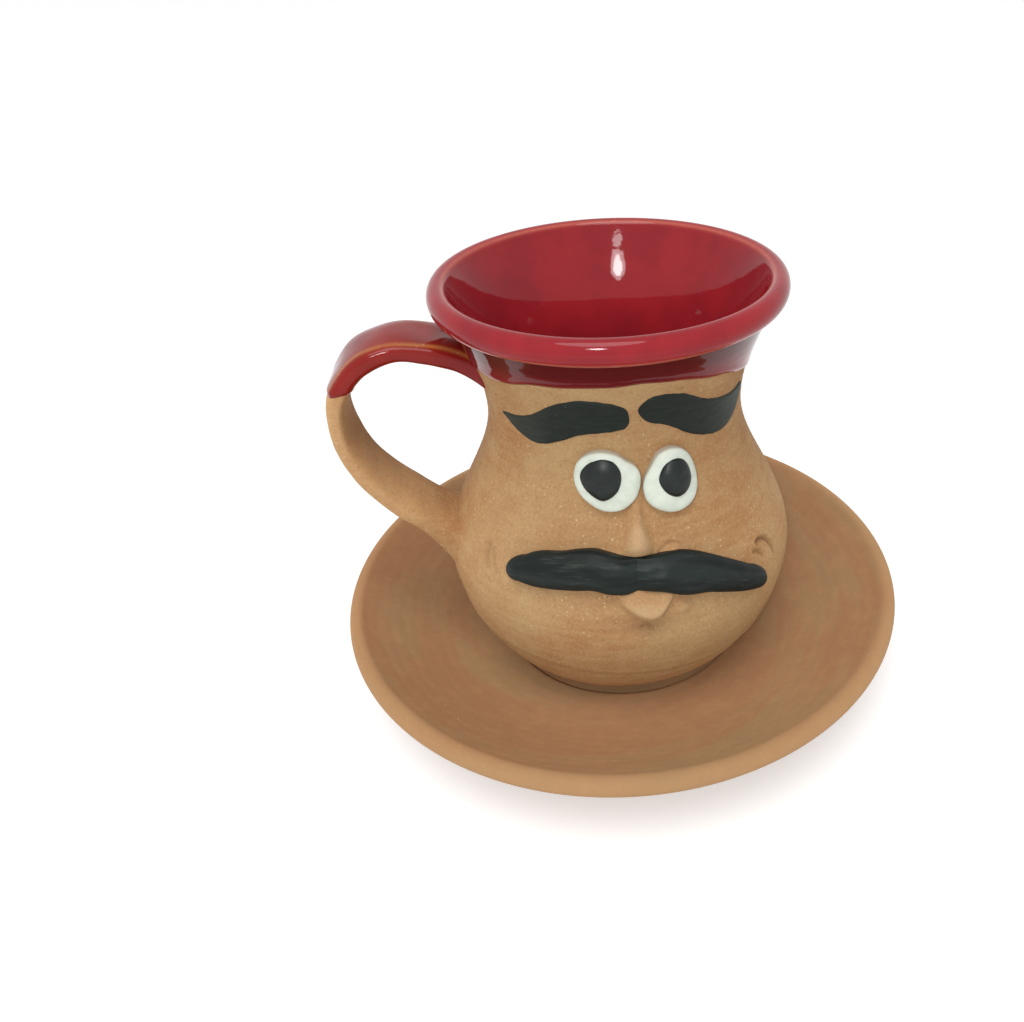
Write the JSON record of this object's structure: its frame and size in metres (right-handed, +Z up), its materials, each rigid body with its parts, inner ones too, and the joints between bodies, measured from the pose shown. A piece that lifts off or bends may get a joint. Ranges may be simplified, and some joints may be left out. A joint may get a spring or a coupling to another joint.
{
  "type": "cup and saucer",
  "caption": "Handmade clay coffee cup with a glazed lip, a pulled strap handle and a moulded comic face, standing loose in its matching unglazed saucer.",
  "frame": {"origin": "middle of the saucer's underside, on the table", "axes": "+Z up through the cup's lip; the face looks towards -Y and the handle points towards -X"},
  "size_m": [0.113, 0.113, 0.0826],
  "materials": {
    "saucer_clay": "matte",
    "cup_clay": "matte",
    "crimson_glaze": "gloss",
    "black_slip": "matte",
    "black_clay": "satin",
    "white_clay": "satin",
    "black_glaze": "gloss"
  },
  "bodies": {
    "saucer": {"saucer": "saucer_clay"},
    "cup": {"cup_body": "cup_clay", "cup_glaze": "crimson_glaze", "handle": "cup_clay", "handle_glaze": "crimson_glaze", "left_eyebrow": "black_slip", "right_eyebrow": "black_slip", "left_eye_white": "white_clay", "right_eye_white": "white_clay", "left_pupil": "black_glaze", "right_pupil": "black_glaze", "nose": "cup_clay", "left_moustache": "black_clay", "right_moustache": "black_clay", "lower_lip": "cup_clay"}
  },
  "joints": [
    {"name": "cup_lift", "type": "slide", "parent": "saucer", "child": "cup", "axis": [0, 0, 1], "range_m": [0, 0.12]}
  ]
}
